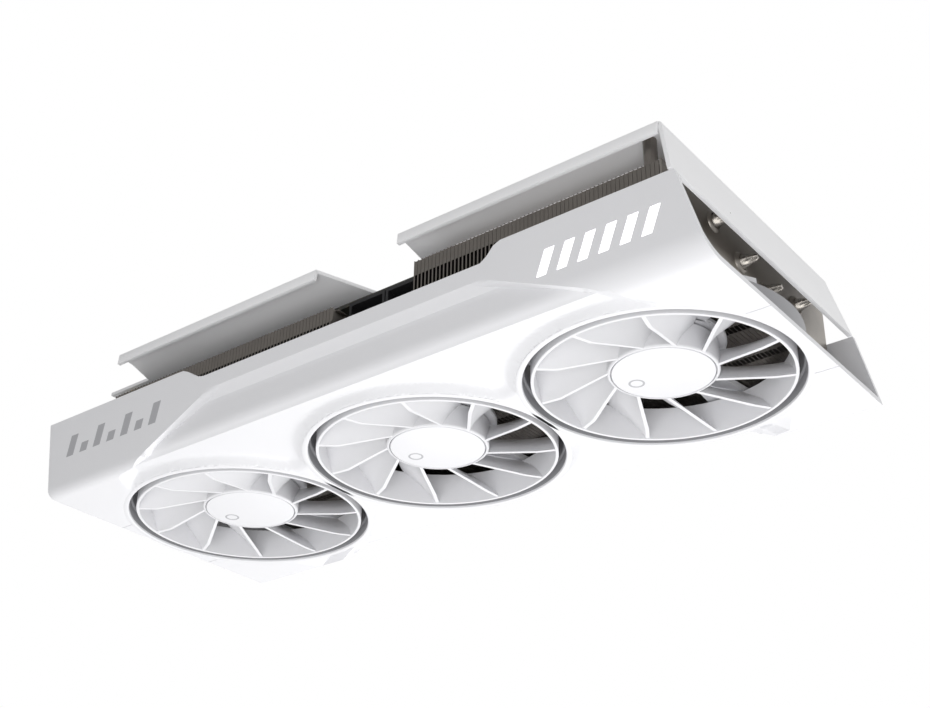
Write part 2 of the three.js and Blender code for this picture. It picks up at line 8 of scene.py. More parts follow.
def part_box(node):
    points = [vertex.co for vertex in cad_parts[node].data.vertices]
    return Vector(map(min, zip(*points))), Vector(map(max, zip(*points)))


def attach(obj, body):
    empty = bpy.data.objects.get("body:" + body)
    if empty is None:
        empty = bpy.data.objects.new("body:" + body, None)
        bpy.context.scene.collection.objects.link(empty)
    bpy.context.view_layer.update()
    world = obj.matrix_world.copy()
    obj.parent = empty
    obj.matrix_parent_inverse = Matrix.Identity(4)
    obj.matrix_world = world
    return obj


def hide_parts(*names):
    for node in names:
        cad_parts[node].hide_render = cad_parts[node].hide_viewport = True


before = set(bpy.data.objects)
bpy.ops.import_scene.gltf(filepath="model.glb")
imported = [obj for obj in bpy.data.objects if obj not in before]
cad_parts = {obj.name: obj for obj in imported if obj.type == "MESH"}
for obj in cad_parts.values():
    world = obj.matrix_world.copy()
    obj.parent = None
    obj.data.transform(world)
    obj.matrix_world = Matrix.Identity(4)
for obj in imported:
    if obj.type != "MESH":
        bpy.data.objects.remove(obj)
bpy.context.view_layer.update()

# Pieces are drawn in millimetres from the middle fan's axis at the shroud's front face, as the card is laid
# out: +X to the tail, +Y to the slot edge, +Z to the backplate. TO_FRAME takes them into the shared frame.
MM = 0.001


def layout_origin():
    low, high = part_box("fan_shaft_middle")
    return Vector(((low.x + high.x) / 2, (low.y + high.y) / 2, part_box("shroud")[0].z))


ORIGIN = layout_origin()
TO_FRAME = Matrix.Translation(ORIGIN) @ Matrix.Scale(MM, 4)


def node_box(node):
    """A CAD node's corners in layout millimetres."""
    low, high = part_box(node)
    return (low - ORIGIN) / MM, (high - ORIGIN) / MM


FANS = ("bracket_end", "middle", "tail")


def fan_centre(name):
    low, high = node_box("fan_shaft_" + name)
    return (low.x + high.x) / 2


FAN_X = [fan_centre(name) for name in FANS]

# ---------------------------------------------------------------- camera, light, floor


def look_at(obj, target):
    direction = Vector(target) - obj.location
    obj.rotation_euler = direction.to_track_quat("-Z", "Y").to_euler()


def add_camera():
    """The camera stands below the fans, near the tail, and looks up along the card."""
    azimuth, elevation = math.radians(36.4), math.radians(-29.37)
    data = bpy.data.cameras.new("camera")
    data.sensor_width = 36.0
    data.lens = 56.5
    data.shift_x = -0.0477
    data.clip_start = 0.01
    camera = bpy.data.objects.new("camera", data)
    bpy.context.scene.collection.objects.link(camera)
    camera.location = TO_FRAME @ Vector((339.8, -412.1, -252.4))
    back = Vector(
        (
            math.sin(azimuth) * math.cos(elevation),
            -math.cos(azimuth) * math.cos(elevation),
            math.sin(elevation),
        )
    )
    look_at(camera, camera.location - back)
    bpy.context.scene.camera = camera


def add_area(name, place, target, size, power):
    data = bpy.data.lights.new(name, "AREA")
    data.shape = "RECTANGLE"
    data.size, data.size_y = size
    data.energy = power
    light = bpy.data.objects.new(name, data)
    bpy.context.scene.collection.objects.link(light)
    light.location = ORIGIN + Vector(place)
    look_at(light, ORIGIN + Vector(target))
    light.visible_camera = False


def add_studio():
    world = bpy.data.worlds.new("studio")
    bpy.context.scene.world = world
    world.use_nodes = True
    nodes, links = world.node_tree.nodes, world.node_tree.links
    background = nodes["Background"]
    background.inputs["Color"].default_value = (1.0, 1.0, 1.0, 1.0)
    direction = nodes.new("ShaderNodeTexCoord")
    split = nodes.new("ShaderNodeSeparateXYZ")
    fade = nodes.new("ShaderNodeMapRange")
    fade.interpolation_type = "SMOOTHSTEP"
    fade.inputs["From Min"].default_value = -0.45
    fade.inputs["From Max"].default_value = 0.3
    fade.inputs["To Min"].default_value = 0.4
    fade.inputs["To Max"].default_value = 1.0
    links.new(direction.outputs["Generated"], split.inputs["Vector"])
    links.new(split.outputs["Y"], fade.inputs["Value"])
    links.new(fade.outputs["Result"], background.inputs["Strength"])
    bpy.context.scene.view_settings.view_transform = "Standard"
    add_area("under_key", (-0.05, 0.42, -0.62), (0, 0, 0), (1.0, 0.7), 4.7)
    add_area("front_fill", (0.38, -0.7, -0.56), (0, 0, 0.02), (0.8, 0.6), 3.9)

    bpy.ops.mesh.primitive_plane_add(size=6, location=ORIGIN + Vector((0, 0, -0.8)))
    floor = bpy.context.object
    floor.name = "floor"
    material = bpy.data.materials.new("floor_paper")
    material.use_nodes = True
    bsdf = material.node_tree.nodes["Principled BSDF"]
    bsdf.inputs["Base Color"].default_value = (0.75, 0.75, 0.75, 1)
    bsdf.inputs["Roughness"].default_value = 0.9
    floor.data.materials.append(material)


add_camera()
add_studio()

# ---------------------------------------------------------------- materials


class Finish:
    """A procedural material and the record slot it stands for."""

    def __init__(self, name, slot, colour, roughness, metallic=0.0):
        self.slot = slot
        self.material = bpy.data.materials.new(name)
        self.material.use_nodes = True
        self.tree = self.material.node_tree
        self.bsdf = self.tree.nodes["Principled BSDF"]
        self.colour = colour
        self.roughness = roughness
        self.bsdf.inputs["Base Color"].default_value = (*colour, 1)
        self.bsdf.inputs["Roughness"].default_value = roughness
        self.bsdf.inputs["Metallic"].default_value = metallic
        self.height = None

    def node(self, kind, **values):
        node = self.tree.nodes.new(kind)
        for key, value in values.items():
            if key in node.inputs:
                node.inputs[key].default_value = value
            else:
                setattr(node, key, value)
        return node

    def link(self, output, socket):
        self.tree.links.new(output, socket)

    def noise(self, size_mm, stretch=(1, 1, 1), detail=3.0):
        """Noise whose features are about size_mm across, stretched along the object's axes."""
        place = self.node("ShaderNodeTexCoord")
        mapping = self.node("ShaderNodeMapping")
        mapping.inputs["Scale"].default_value = stretch
        noise = self.node("ShaderNodeTexNoise", Scale=1 / (size_mm * MM), Detail=detail)
        self.link(place.outputs["Object"], mapping.inputs["Vector"])
        self.link(mapping.outputs["Vector"], noise.inputs["Vector"])
        return noise.outputs["Fac"]

    def ramp(self, factor, low, high):
        """Maps a 0 to 1 factor onto low to high."""
        node = self.node("ShaderNodeMapRange")
        node.inputs["To Min"].default_value = low
        node.inputs["To Max"].default_value = high
        self.link(factor, node.inputs["Value"])
        return node.outputs["Result"]

    def tint(self, factor, other):
        """Varies the base colour towards another one."""
        mix = self.node("ShaderNodeMix", data_type="RGBA")
        colours = [s for s in mix.inputs if s.type == "RGBA"]
        colours[0].default_value = (*self.colour, 1)
        colours[1].default_value = (*other, 1)
        self.link(factor, mix.inputs[0])
        self.link([s for s in mix.outputs if s.type == "RGBA"][0], self.bsdf.inputs["Base Color"])

    def vary_roughness(self, factor, spread):
        result = self.ramp(factor, self.roughness - spread, self.roughness + spread)
        self.link(result, self.bsdf.inputs["Roughness"])

    def bump(self, factor, depth_mm, strength=1.0):
        node = self.node("ShaderNodeBump", Strength=strength, Distance=depth_mm * MM)
        self.link(factor, node.inputs["Height"])
        if self.height is not None:
            self.link(self.height, node.inputs["Normal"])
        self.height = node.outputs["Normal"]
        self.link(self.height, self.bsdf.inputs["Normal"])


def moulded_white(name, slot, colour, roughness):
    """White plastic with a fine spark-eroded grain and a very faint cloudiness."""
    finish = Finish(name, slot, colour, roughness)
    grain = finish.noise(0.35, detail=2.0)
    cloud = finish.noise(30.0)
    finish.tint(cloud, tuple(c * 0.975 for c in colour))
    finish.vary_roughness(grain, 0.05)
    finish.bump(grain, 0.008, 0.5)
    return finish


def powder_white():
    """Powder-coated sheet metal: a slight orange peel under a satin gloss."""
    finish = Finish("powder_white", "white_shell", (0.93, 0.93, 0.94), 0.42)
    peel = finish.noise(1.1, detail=1.0)
    grain = finish.noise(0.25, detail=2.0)
    finish.tint(finish.noise(45.0), (0.91, 0.91, 0.925))
    finish.vary_roughness(grain, 0.05)
    finish.bump(peel, 0.012, 0.5)
    finish.bump(grain, 0.004, 0.4)
    return finish


def brushed(name, slot, colour, roughness, stretch):
    """Metal with a fine directional brush and slow tarnish."""
    finish = Finish(name, slot, colour, roughness, 1.0)
    lines = finish.noise(0.9, stretch, 4.0)
    finish.tint(finish.noise(9.0), tuple(c * 0.75 for c in colour))
    finish.vary_roughness(lines, 0.08)
    finish.bump(lines, 0.006, 0.6)
    return finish


def glowing():
    finish = Finish("light_bar_glow", "light_bar", (1.0, 1.0, 1.0), 0.35)
    finish.bsdf.inputs["Emission Color"].default_value = (1.0, 1.0, 1.0, 1)
    finish.bsdf.inputs["Emission Strength"].default_value = 1.3
    finish.vary_roughness(finish.noise(0.5), 0.06)
    return finish


def solder_mask():
    """Dark solder mask with copper tracks faintly raised under it."""
    finish = Finish("solder_mask", "board", (0.035, 0.036, 0.03), 0.4)
    place = finish.node("ShaderNodeTexCoord")
    tracks = finish.node("ShaderNodeTexVoronoi", Scale=1 / (3.2 * MM), feature="DISTANCE_TO_EDGE")
    finish.link(place.outputs["Object"], tracks.inputs["Vector"])
    lines = finish.node("ShaderNodeMath", operation="LESS_THAN")
    lines.inputs[1].default_value = 0.06
    finish.link(tracks.outputs["Distance"], lines.inputs[0])
    finish.tint(lines.outputs[0], (0.06, 0.058, 0.04))
    finish.bump(lines.outputs[0], 0.02, 0.4)
    return finish


def dull_plastic(name, slot, colour, roughness):
    finish = Finish(name, slot, colour, roughness)
    grain = finish.noise(0.3)
    finish.vary_roughness(grain, 0.08)
    finish.bump(grain, 0.012, 0.5)
    return finish


SHELL = moulded_white("shell_white", "white_shell", (0.79, 0.79, 0.81), 0.4)
FAN_WHITE = moulded_white("fan_white", "white_fan", (0.77, 0.77, 0.79), 0.4)
# The ducts' dark grey copy of the white moulding is painted shade for the deep gap between an opening's lip
# and its rotor ring.
DUCT_PAINTED_SHADE = moulded_white("duct_painted_shade", "white_shell", (0.33, 0.33, 0.345), 0.45)
FRAME_WHITE = moulded_white("frame_white", "white_shell", (0.72, 0.72, 0.74), 0.45)
SHEET = powder_white()
GLOW = glowing()
PRINT = dull_plastic("printed_grey", "white_shell", (0.42, 0.42, 0.44), 0.5)
FIN = brushed("fin_dark_nickel", "fins", (0.3, 0.275, 0.25), 0.38, (1, 6, 1))
PLATE = brushed("fin_end_plate", "fins", (0.42, 0.39, 0.355), 0.4, (1, 1, 6))
PIPE = brushed("pipe_nickel", "heat_pipe", (0.46, 0.43, 0.39), 0.27, (5, 1, 1))
STEEL = brushed("bracket_steel", "plated_steel", (0.66, 0.66, 0.67), 0.3, (1, 1, 8))
TIN = brushed("port_tin", "plated_steel", (0.74, 0.73, 0.71), 0.26, (6, 1, 1))
ALLOY = brushed("plate_alloy", "plain_metal", (0.62, 0.62, 0.63), 0.4, (1, 6, 1))
BRASS = brushed("bearing_brass", "brass", (0.7, 0.54, 0.28), 0.32, (1, 1, 5))
BLACK = dull_plastic("socket_black", "black_plastic", (0.022, 0.022, 0.024), 0.5)
CHIP = dull_plastic("chip_epoxy", "black_plastic", (0.03, 0.03, 0.032), 0.42)
CHOKE = dull_plastic("choke_ferrite", "black_plastic", (0.1, 0.1, 0.105), 0.6)
MASK = solder_mask()

# ---------------------------------------------------------------- mesh helpers

WELD = 1e-4
SOFT_ANGLE = 30  # edges sharper than this are rounded


def link_mesh(name, bm):
    """A new object in the shared frame from a bmesh drawn in layout millimetres."""
    bm.transform(TO_FRAME)
    mesh = bpy.data.meshes.new(name)
    bm.to_mesh(mesh)
    bm.free()
    piece = bpy.data.objects.new(name, mesh)
    bpy.context.scene.collection.objects.link(piece)
    return piece


def finished(name, bm, finish, body="card", angle=35, replaces=()):
    """Turns a bmesh drawn in layout millimetres into a piece that rides on a body."""
    bmesh.ops.remove_doubles(bm, verts=bm.verts, dist=WELD)
    bmesh.ops.recalc_face_normals(bm, faces=bm.faces)
    settle(link_mesh(name, bm), finish, body, angle, replaces)


def settle(piece, finish, body, angle, replaces):
    """Gives a piece its finish, its shading and its body."""
    piece.data.materials.clear()
    piece.data.materials.append(finish.material)
    piece.data.shade_smooth()
    piece.data.set_sharp_from_angle(angle=math.radians(angle))
    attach(piece, body)
    if replaces:
        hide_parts(*replaces)


def apply_modifiers(piece):
    """Bakes the piece's modifiers into its mesh."""
    depsgraph = bpy.context.evaluated_depsgraph_get()
    mesh = bpy.data.meshes.new_from_object(piece.evaluated_get(depsgraph))
    piece.modifiers.clear()
    old = piece.data
    piece.data = mesh
    bpy.data.meshes.remove(old)


def soften(bm, width):
    """Rounds the sharp edges."""
    limit = math.radians(SOFT_ANGLE)
    sharp = [e for e in bm.edges if len(e.link_faces) == 2 and e.calc_face_angle(0) > limit]
    bmesh.ops.bevel(
        bm, geom=sharp, offset=width, segments=2, profile=0.5, affect="EDGES", clamp_overlap=True
    )


def add_block(bm, x0, x1, y0, y1, z0, z1):
    size = Matrix.Diagonal((x1 - x0, y1 - y0, z1 - z0, 1))
    middle = Matrix.Translation(((x0 + x1) / 2, (y0 + y1) / 2, (z0 + z1) / 2))
    bmesh.ops.create_cube(bm, size=1, matrix=middle @ size)


def add_prism(bm, points, low, high, turn=None):
    """An outline raised from low to high, then turned by a matrix."""
    turn = turn or Matrix.Identity(4)
    bottom = [bm.verts.new(turn @ Vector((a, b, low))) for a, b in points]
    top = [bm.verts.new(turn @ Vector((a, b, high))) for a, b in points]
    count = len(points)
    bm.faces.new(bottom[::-1])
    bm.faces.new(top)
    for i in range(count):
        j = (i + 1) % count
        bm.faces.new((bottom[i], bottom[j], top[j], top[i]))


def add_turned(bm, profile, segments, centre=(0, 0), closed=False):
    """A profile of (radius, z) points turned round a vertical axis."""
    rings = []
    for radius, z in profile:
        if radius < 1e-6:
            rings.append([bm.verts.new((centre[0], centre[1], z))] * segments)
            continue
        ring = []
        for k in range(segments):
            turn = 2 * math.pi * k / segments
            ring.append(
                bm.verts.new((centre[0] + radius * math.cos(turn), centre[1] + radius * math.sin(turn), z))
            )
        rings.append(ring)
    pairs = list(zip(rings, rings[1:]))
    if closed:
        pairs.append((rings[-1], rings[0]))
    for a, b in pairs:
        for k in range(segments):
            n = (k + 1) % segments
            corners = []
            for v in (a[k], a[n], b[n], b[k]):
                if v not in corners:
                    corners.append(v)
            if len(corners) > 2:
                bm.faces.new(corners)


def arc(centre, radius, start, end, steps):
    """Points on an arc, angles in degrees."""
    points = []
    for i in range(steps + 1):
        angle = math.radians(start + (end - start) * i / steps)
        points.append((centre[0] + radius * math.cos(angle), centre[1] + radius * math.sin(angle)))
    return points


def smooth(t):
    """An S-shaped step from 0 to 1."""
    t = min(max(t, 0.0), 1.0)
    return t * t * (3 - 2 * t)


def ramp(value, points):
    """Straight-line interpolation through (input, output) points in rising order."""
    if value <= points[0][0]:
        return points[0][1]
    for (a, fa), (b, fb) in zip(points, points[1:]):
        if value <= b:
            return fa + (fb - fa) * (value - a) / (b - a)
    return points[-1][1]


# ---------------------------------------------------------------- shroud

SHROUD_LOW, SHROUD_HIGH = node_box("shroud")
LEFT_END = SHROUD_LOW.x
TAIL_AT_FACE = SHROUD_HIGH.x
TAIL_LEAN = 0.25
RIM = SHROUD_HIGH.z
OPENING_R = 52.0
SKIN_R = 53.3
LIP_R = 54.3
LIP_STEP = 0.15
LIP_BACK = 1.4
COLLAR_FOOT_R = 57.4
RECESS = 3.4
SHROUD_WALL = 2.0
CREASE_Z = 20.8
ZONE_Y = 55.0
FACET_EDGE_R = 5.5
STEP_LEFT, STEP_RIGHT = 8.5, 7.5  # how long the ramps from the end blocks down to the lowered face are
RIM_DIP = 5.8
CORNER = {"left": 4.5, "tail": 10.0, "tail_slot": 1.2, "end": 1.2}
# Half widths at the face, how far the sides lean out, and the edges of the facet under the crease
SIDES = {
    -1: {"foot": 67.1, "lean": (71.7 - 67.1) / 32.8, "soft": 65.3, "inner": (66.2, 17.2)},
    1: {"foot": 64.5, "lean": (66.0 - 64.5) / 32.8, "soft": 62.4, "inner": (63.2, 17.2)},
}


def rounded_corner(before, corner, after, radius, steps=16):
    """The points of an arc that rounds a corner between two straight runs."""
    a = (Vector(before) - Vector(corner)).normalized()
    b = (Vector(after) - Vector(corner)).normalized()
    half = a.angle(b) / 2
    reach = radius / math.tan(half)
    middle = Vector(corner) + (a + b).normalized() * (radius / math.sin(half))
    start = Vector(corner) + a * reach - middle
    end = Vector(corner) + b * reach - middle
    span = start.angle(end)
    points = []
    for i in range(steps + 1):
        t = i / steps
        w0, w1 = math.sin((1 - t) * span) / math.sin(span), math.sin(t * span) / math.sin(span)
        points.append(middle + start * w0 + end * w1)
    return points


class Path:
    """A polyline that can be read at a share of its length."""

    def __init__(self, points):
        self.points = [Vector(p) for p in points]
        self.marks = [0.0]
        for a, b in zip(self.points, self.points[1:]):
            self.marks.append(self.marks[-1] + (b - a).length)

    def at(self, share):
        want = share * self.marks[-1]
        for i in range(len(self.points) - 1):
            if want <= self.marks[i + 1] or i == len(self.points) - 2:
                span = self.marks[i + 1] - self.marks[i]
                t = (want - self.marks[i]) / span if span else 0
                return self.points[i].lerp(self.points[i + 1], min(max(t, 0), 1))
        return self.points[-1]


def panel_y(side, z):
    """Half width of the side wall at a height."""
    return SIDES[side]["foot"] + SIDES[side]["lean"] * z


def block_path(side, radius, inset=0.0):
    """End block: flat face, rounded corner, leaning side up to the crease level."""
    foot = (panel_y(side, inset) - inset, inset)
    top = (panel_y(side, CREASE_Z) - inset, CREASE_Z)
    start = (ZONE_Y, inset)
    return Path([start, *rounded_corner(start, foot, top, max(radius - inset, 0.6)), top])


def middle_path(side):
    """Middle body: lowered face, soft edge, dark facet, inner crease, bevel strip, outer crease."""
    shape = SIDES[side]
    start = (ZONE_Y, RECESS)
    corner = (shape["soft"], RECESS)
    inner = shape["inner"]
    outer = (panel_y(side, CREASE_Z), CREASE_Z)
    return Path([start, *rounded_corner(start, corner, inner, FACET_EDGE_R), inner, outer])


def boundary_left(y, z):
    """Where the bracket-end block stops, on the panel and on the face."""
    if z > 0.5:
        return -109.2 + (109.2 - 61.4) * min(z, CREASE_Z) / CREASE_Z
    return ramp(y, [(50.0, -127.2), (63.2, -119.3), (67.1, -111.0)])


def boundary_right(y, z):
    """Where the tail block starts."""
    if z > 0.5:
        return 121.7 - (121.7 - 75.4) * min(z, CREASE_Z) / CREASE_Z
    return ramp(y, [(41.0, 141.0), (54.7, 130.0), (67.1, 122.5)])


def rim_height(side, x):
    """The side wall's top edge, which dips over the middle of the long side."""
    if side > 0:
        return RIM
    dip = smooth((x + 77) / 12.5) * (1 - smooth((x - 75) / 10))
    return RIM - RIM_DIP * dip


def shroud_rows():
    """Row stations from the long rim over the face to the slot rim: side, zone and share."""
    strip = 0.776  # the share of an edge's run where the bevel strip starts
    walls = [i / 8 for i in range(8, 0, -1)]
    edges = {i / 26 * strip for i in range(27)} | {strip + (1 - strip) * i / 5 for i in range(6)}
    edges = sorted(edges, reverse=True)[:-1]
    sides = {}
    for side in SIDES:
        sides[side] = [(side, "wall", p) for p in walls] + [(side, "edge", q) for q in edges]
    steps = 104
    face = [(0, "face", -ZONE_Y + 2 * ZONE_Y * i / steps) for i in range(steps + 1)]
    return sides[-1] + face + sides[1][::-1]


def shroud_columns():
    """Column stations: segment name and share."""
    steps = {"round": 6, "block": 34, "step_down": 10, "middle": 212, "step_up": 10, "tail": 26}
    columns = [(segment, i / count) for segment, count in steps.items() for i in range(count)]
    return columns + [("tail", 1.0)]


class ShroudSkin:
    """The shroud's outer surface, read at a column and a row."""

    def __init__(self):
        self.middle = {side: middle_path(side) for side in SIDES}
        self.blocks = {}

    def block(self, side, radius, inset):
        key = (side, round(radius, 2), round(inset, 3))
        if key not in self.blocks:
            self.blocks[key] = block_path(side, radius, inset)
        return self.blocks[key]

    def block_point(self, row, x, inset=0.0):
        side, zone, share = row
        radius = CORNER["left"] if x < 0 else CORNER["tail" if side < 0 else "tail_slot"]
        if zone == "face":
            return share, inset
        edge = self.block(side, radius, inset).at(min(share, 1.0) if zone == "edge" else 1.0)
        if zone == "edge":
            return side * edge.x, edge.y
        z = CREASE_Z + share * (rim_height(side, x) - CREASE_Z)
        return side * (panel_y(side, z) - inset), z

    def middle_point(self, row, x):
        side, zone, share = row
        if zone == "face":
            return share, RECESS
        if zone == "edge":
            point = self.middle[side].at(share)
            return side * point.x, point.y
        return self.block_point(row, x)

    def bounds(self, row):
        """The x of the two block edges and the two step feet for a row."""
        if row[1] == "face":
            y, z = abs(row[2]), 0.0
        elif row[1] == "edge":
            point = self.block(row[0], CORNER["left"], 0.0).at(row[2])
            y, z = point.x, point.y
        else:
            y, z = 0.0, CREASE_Z
        left, right = boundary_left(y, z), boundary_right(y, z)
        return left, left + STEP_LEFT, right - STEP_RIGHT, right

    def point(self, column, row):
        segment, t = column
        left, left_foot, right_foot, right = self.bounds(row)
        if segment == "round":
            return self.rounded_end(row, t)
        start = LEFT_END + CORNER["end"]
        if segment == "block":
            x = start + (left - start) * t
            y, z = self.block_point(row, x)
        elif segment == "step_down":
            x = left + (left_foot - left) * t
            y, z = self.mixed(row, x, t)
        elif segment == "middle":
            x = left_foot + (right_foot - left_foot) * t
            y, z = self.mixed(row, x, 1.0)
        elif segment == "step_up":
            x = right_foot + (right - right_foot) * t
            y, z = self.mixed(row, x, 1.0 - t)
        else:
            y, z = self.block_point(row, right + (TAIL_AT_FACE - right) * t)
            x = right + (TAIL_AT_FACE - TAIL_LEAN * z - right) * t
        return Vector((x, y, self.with_collars(row, x, y, z)))

    def rounded_end(self, row, t):
        """The rounded corner between the end wall and the rest, t from 0 at the end wall."""
        radius = CORNER["end"]
        angle = t * math.pi / 2
        inset = radius * (1 - math.sin(angle))
        x = LEFT_END + radius * (1 - math.cos(angle))
        y, z = self.block_point(row, x, inset)
        return Vector((x, y, z))

    def mixed(self, row, x, share):
        by, bz = self.block_point(row, x)
        my, mz = self.middle_point(row, x)
        return by + (my - by) * share, bz + (mz - bz) * share

    def with_collars(self, row, x, y, z):
        """Raises the lowered face to the collars round the openings and to the bridges between them."""
        if min(math.hypot(x - centre, y) for centre in FAN_X) < LIP_R + 0.2 and z < RECESS + 0.5:
            return LIP_STEP
        if row[1] == "wall" or z > RECESS + 0.5 or z <= 0:
            return z
        for centre in FAN_X:
            radius = math.hypot(x - centre, y)
            z = min(z, RECESS * smooth((radius - LIP_R) / (COLLAR_FOOT_R - LIP_R)))
        if FAN_X[0] < x < FAN_X[2]:
            z = min(z, RECESS * smooth((abs(y) - 23.0) / 6.0))
        return z


def snap_to_openings(bm, spacing):
    """Cuts the round openings: nearby vertices move onto the circle, and what lies inside goes."""
    for centre in FAN_X:
        for vert in bm.verts:
            offset = Vector((vert.co.x - centre, vert.co.y))
            if vert.co.z < 1.0 and abs(offset.length - SKIN_R) < spacing:
                offset = offset.normalized() * SKIN_R
                vert.co.x, vert.co.y = centre + offset.x, offset.y
    inside = []
    for face in bm.faces:
        middle = face.calc_center_median()
        if middle.z < 2.0 and any(math.hypot(middle.x - c, middle.y) < SKIN_R - 0.02 for c in FAN_X):
            inside.append(face)
    bmesh.ops.delete(bm, geom=inside, context="FACES")


def side_turn():
    """Takes an (x, height, depth) outline onto the leaning long side, depth outwards."""
    lean = math.atan(SIDES[-1]["lean"])
    stand = Matrix.Rotation(math.pi / 2, 4, "X")
    return Matrix.Translation((0, -SIDES[-1]["foot"], 0)) @ Matrix.Rotation(lean, 4, "X") @ stand


LIGHT = {"x0": 98, "z0": 13.5, "height": 9.4, "width": 4.2, "pitch": 8.4, "lean": 4.6, "count": 6}


def light_outline(index, inset):
    """One slanted bar's outline on the long side."""
    x = LIGHT["x0"] + index * LIGHT["pitch"] + inset
    width = LIGHT["width"] - 2 * inset
    low, high = LIGHT["z0"] + inset, LIGHT["z0"] + LIGHT["height"] - inset
    lean = LIGHT["lean"]
    return [(x, low), (x + width, low), (x + width + lean, high), (x + lean, high)]


def shroud_cutters():
    """The light bars' slots and the short tick grooves at both ends of the face."""
    bm = bmesh.new()
    for i in range(LIGHT["count"]):
        add_prism(bm, light_outline(i, 0.0), -5, 5, side_turn())
    for y in (-26, 26):
        add_block(bm, LEFT_END - 1, LEFT_END + 7.5, y - 0.25, y + 0.25, -1, 0.5)
        add_block(bm, TAIL_AT_FACE - 12.5, TAIL_AT_FACE + 1, y - 0.25, y + 0.25, -1, 0.5)
    bmesh.ops.recalc_face_normals(bm, faces=bm.faces)
    return link_mesh("shroud_cutters", bm)


def soften_collars(bm):
    """Evens out the slopes round the openings, where the grid crosses them at an angle."""
    slopes = []
    for vert in bm.verts:
        radius = min(math.hypot(vert.co.x - centre, vert.co.y) for centre in FAN_X)
        if LIP_R + 0.3 < radius < COLLAR_FOOT_R + 3.0 and vert.co.z < RECESS + 0.4:
            slopes.append(vert)
    for _ in range(5):
        bmesh.ops.smooth_vert(bm, verts=slopes, factor=0.5, use_axis_z=True)


def shroud_skin_mesh():
    """The outer surface as a grid, open along its rim and tail, with the three openings cut."""
    skin = ShroudSkin()
    rows, columns = shroud_rows(), shroud_columns()
    bm = bmesh.new()
    grid = [[bm.verts.new(skin.point(column, row)) for row in rows] for column in columns]
    for a, b in zip(grid, grid[1:]):
        for i in range(len(rows) - 1):
            bm.faces.new((a[i], a[i + 1], b[i + 1], b[i]))
    bm.faces.new(grid[0])
    snap_to_openings(bm, 0.55)
    soften_collars(bm)
    bmesh.ops.dissolve_degenerate(bm, dist=0.12, edges=bm.edges)
    bmesh.ops.recalc_face_normals(bm, faces=bm.faces)
    outward = sum((f.normal.z for f in bm.faces), 0.0)
    if outward > 0:
        bmesh.ops.reverse_faces(bm, faces=bm.faces)
    return bm


def add_shroud():
    shell = link_mesh("shroud_shell", shroud_skin_mesh())
    solid = shell.modifiers.new("wall", "SOLIDIFY")
    solid.thickness = SHROUD_WALL * MM
    solid.offset = -1
    cutters = shroud_cutters()
    slots = shell.modifiers.new("slots", "BOOLEAN")
    slots.operation = "DIFFERENCE"
    slots.solver = "EXACT"
    slots.object = cutters
    apply_modifiers(shell)
    bpy.data.objects.remove(cutters)
    for vert in shell.data.vertices:
        vert.co.z = min(vert.co.z, ORIGIN.z + RIM * MM)
        vert.co.x = min(vert.co.x, ORIGIN.x + TAIL_AT_FACE * MM)
    settle(shell, SHELL, "card", 13, ("shroud",))
    for name, x in zip(FANS, FAN_X):
        bm = bmesh.new()
        profile = [
            *arc((OPENING_R + 0.5, 0.5), 0.5, 180, 270, 4), (LIP_R - 0.3, 0.0), (LIP_R, 0.2),
            (LIP_R, LIP_BACK), (OPENING_R, LIP_BACK),
        ]
        add_turned(bm, profile, 160, (x, 0), closed=True)
        finished("opening_lip_" + name, bm, SHELL, angle=40)


def add_light_bars():
    """The glowing bars a little below the slots' rims, on one backing sheet."""
    bm = bmesh.new()
    for i in range(LIGHT["count"]):
        add_prism(bm, light_outline(i, 0.12), -2.6, -0.35, side_turn())
    x1 = LIGHT["x0"] + LIGHT["count"] * LIGHT["pitch"] + LIGHT["lean"]
    x0 = LIGHT["x0"] - 2
    backing = [(x0, 16.5), (x0 + 11, 11.5), (x1, 11.5), (x1 - 2, 26), (x0, 26)]
    add_prism(bm, backing, -4.2, -2.6, side_turn())
    finished("light_bars", bm, GLOW, replaces=("light_diffuser",))


def add_side_marks():
    """A printed row of plain slanted dashes near the bracket end."""
    bm = bmesh.new()
    low, high, width = 15.4, 24.2, 4.4
    for i in range(7):
        x = -148.5 + i * 8.6
        height = 0.45 if i % 2 else 1.0
        top = low + (high - low) * height
        lean = 3.4 * height
        dash = [(x, low), (x + width, low), (x + width + lean, top), (x + lean, top)]
        add_prism(bm, dash, -0.3, 0.03, side_turn())
    finished("side_marks", bm, PRINT)


# ---------------------------------------------------------------- fans

HUB_R = 20.9
MARK_AT = (-12.0, 0.6)
RING = {"inner": 47.6, "outer": 48.9, "z0": 0.5, "z1": 14.0}
BLADES = 11
BLADE_PHASE = 15.8
ROOT_R, TIP_R = 20.4, 47.9
STRUT_TURNS = (90, 210, 330)
SEAT_Z = 15.1


def plan_angle(a, b, t):
    """Angle and radius of a point on the straight plan line between two (radius, degrees) points."""
    start = Vector((a[0] * math.cos(math.radians(a[1])), a[0] * math.sin(math.radians(a[1]))))
    end = Vector((b[0] * math.cos(math.radians(b[1])), b[0] * math.sin(math.radians(b[1]))))
    point = start.lerp(end, t)
    return point.length, math.degrees(math.atan2(point.y, point.x))


def blade_stations():
    """Front-edge and back-edge points from hub to ring: radius, front degrees and z, back degrees and z."""
    hub, kink, tip = (ROOT_R, 0.0), (39.8, -17.2), (TIP_R, -18.8)
    stations = []
    for i in range(9):
        radius, front = plan_angle(hub, kink, i / 8)
        stations.append([radius, front])
    for i in range(1, 5):
        radius, front = plan_angle(kink, tip, i / 4)
        stations.append([radius, front])
    for station in stations:
        share = (station[0] - ROOT_R) / (TIP_R - ROOT_R)
        station.append(max(4.2 - 4.6 * share, 0.9))
        station.append(21.5 - 21.5 * share)
        station.append(14.1 + 0.4 * share)
    return stations


